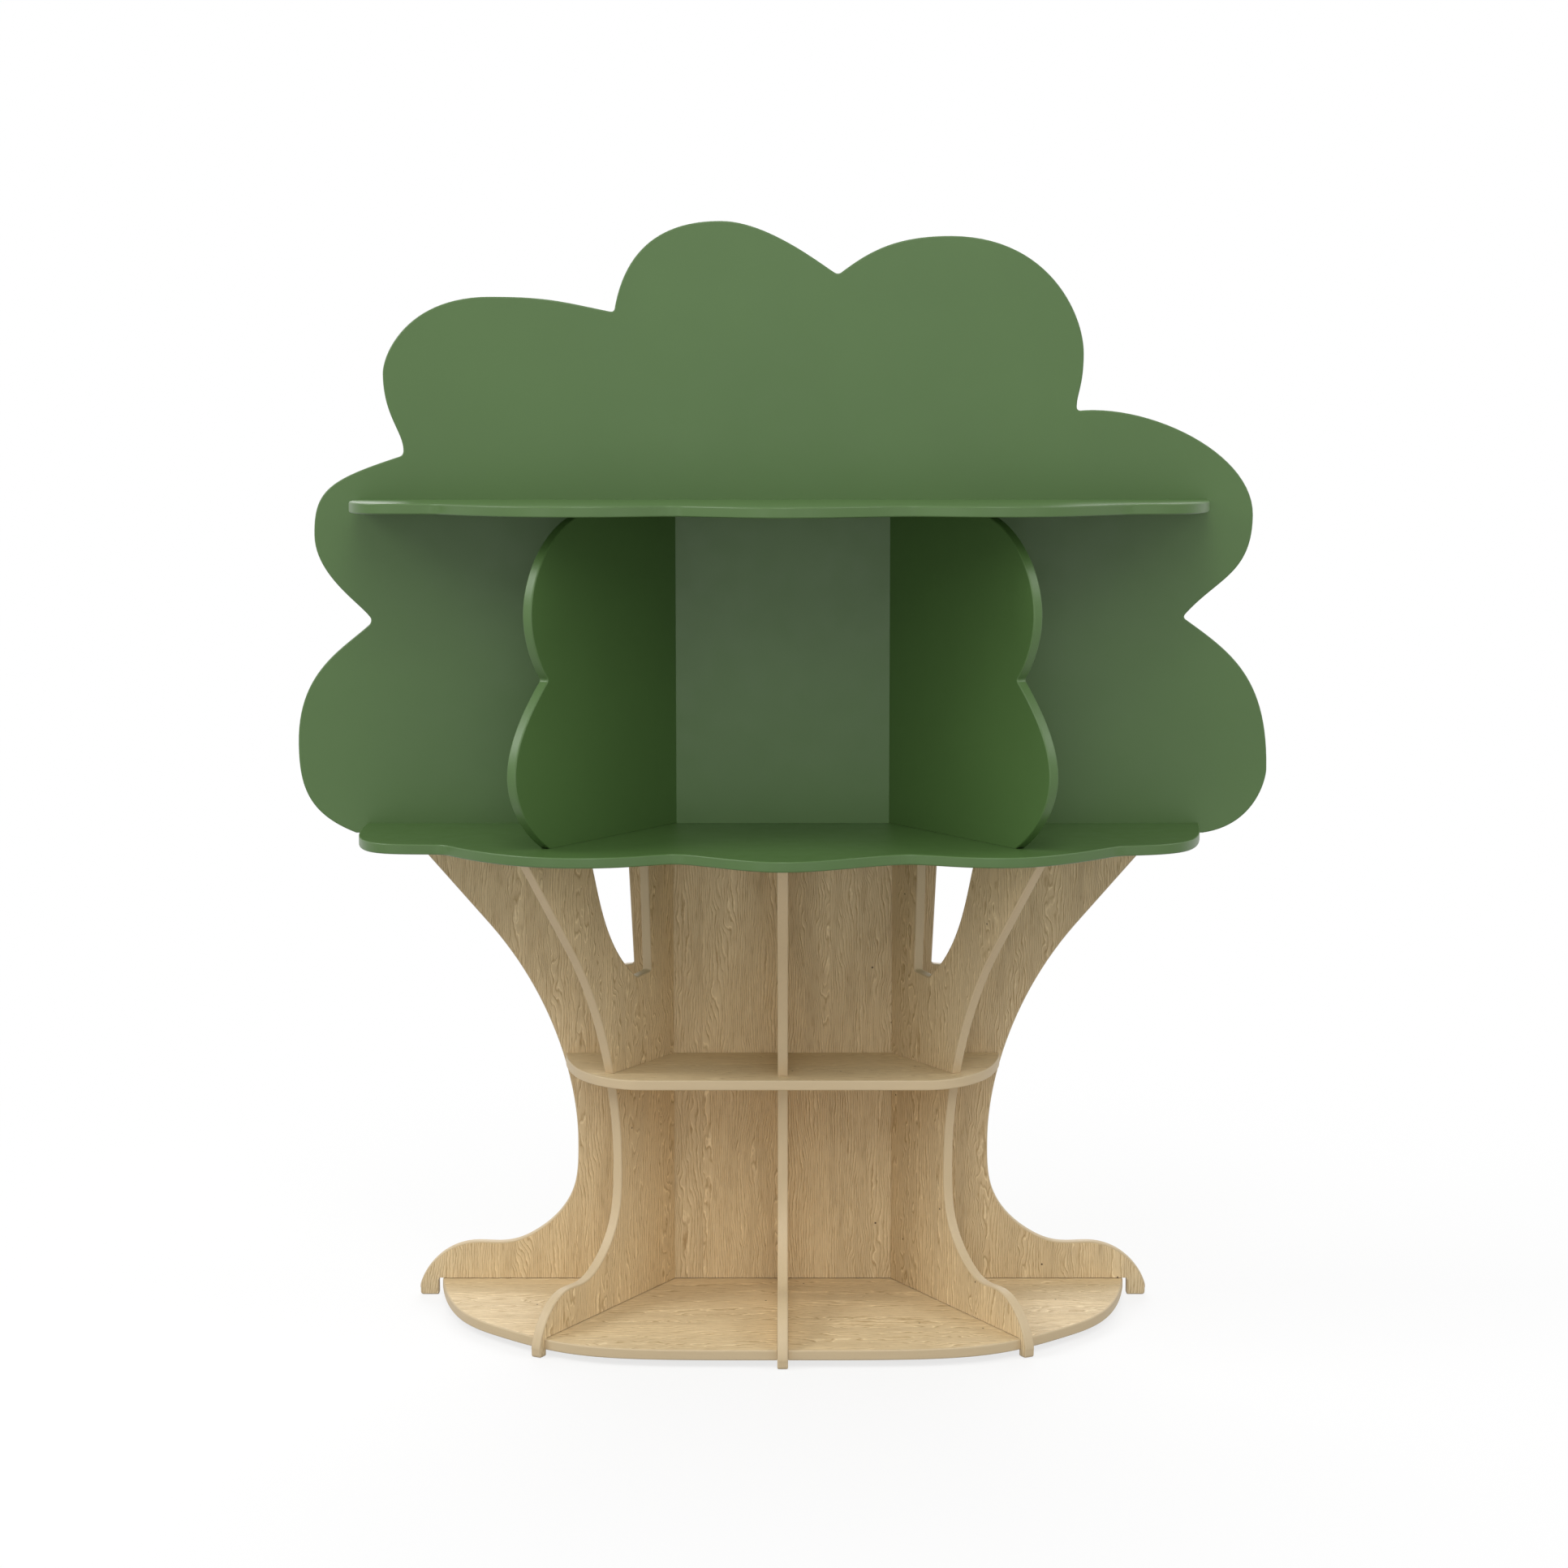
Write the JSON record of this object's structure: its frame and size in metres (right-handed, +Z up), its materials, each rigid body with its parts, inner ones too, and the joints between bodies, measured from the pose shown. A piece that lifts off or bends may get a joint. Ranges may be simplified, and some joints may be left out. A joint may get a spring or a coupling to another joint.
{
  "type": "bookcase",
  "caption": "Tree shaped bookcase: a cloud outlined painted crown with two scalloped shelves and splayed dividers stands on a flared trunk of slotted wooden fins with a middle and a base shelf.",
  "frame": {"origin": "on the floor, under the centre of the outer box", "axes": "+X runs to the right as seen from the front, +Y runs to the back, towards the wall, and +Z runs up"},
  "size_m": [1.438, 0.425, 1.605],
  "materials": {
    "green_paint": "satin leaf green lacquer on board",
    "oak_veneer": "clear satin lacquer on light oak veneer",
    "zinc_steel": "zinc plated",
    "beech": "raw turned beech"
  },
  "bodies": {
    "root": {"crown_back": "green_paint", "crown_shelf": "green_paint", "upper_shelf": "green_paint", "crown_divider_left": "green_paint", "crown_divider_right": "green_paint", "trunk_back": "oak_veneer", "trunk_fin_left": "oak_veneer", "trunk_fin_centre": "oak_veneer", "trunk_fin_right": "oak_veneer", "middle_shelf": "oak_veneer", "base_shelf": "oak_veneer", "base_screw_left_1": "zinc_steel", "base_screw_left_2": "zinc_steel", "base_screw_centre_1": "zinc_steel", "base_screw_centre_2": "zinc_steel", "base_screw_right_1": "zinc_steel", "base_screw_right_2": "zinc_steel", "base_screw_back_left": "zinc_steel", "base_screw_back_right": "zinc_steel", "stem_screw_1": "zinc_steel", "stem_screw_2": "zinc_steel", "stem_screw_3": "zinc_steel", "middle_shelf_screw_left_1": "zinc_steel", "middle_shelf_screw_right_1": "zinc_steel", "crown_shelf_screw_left_1": "zinc_steel", "crown_shelf_screw_left_2": "zinc_steel", "crown_shelf_screw_right_1": "zinc_steel", "crown_shelf_screw_right_2": "zinc_steel", "upper_shelf_screw_left_1": "zinc_steel", "upper_shelf_screw_left_2": "zinc_steel", "upper_shelf_screw_right_1": "zinc_steel", "upper_shelf_screw_right_2": "zinc_steel", "fin_dowel_left_1": "beech", "fin_dowel_left_2": "beech", "fin_dowel_centre_1": "beech", "fin_dowel_centre_2": "beech", "fin_dowel_right_1": "beech", "fin_dowel_right_2": "beech", "divider_dowel_left_foot_1": "beech", "divider_dowel_left_foot_2": "beech", "divider_dowel_left_head_1": "beech", "divider_dowel_left_head_2": "beech", "divider_dowel_right_foot_1": "beech", "divider_dowel_right_foot_2": "beech", "divider_dowel_right_head_1": "beech", "divider_dowel_right_head_2": "beech", "joining_plate_left": "zinc_steel", "joining_plate_right": "zinc_steel", "plate_screw_left_1": "zinc_steel", "plate_screw_left_2": "zinc_steel", "plate_screw_left_3": "zinc_steel", "plate_screw_left_4": "zinc_steel", "plate_screw_right_1": "zinc_steel", "plate_screw_right_2": "zinc_steel", "plate_screw_right_3": "zinc_steel", "plate_screw_right_4": "zinc_steel"}
  },
  "joints": []
}
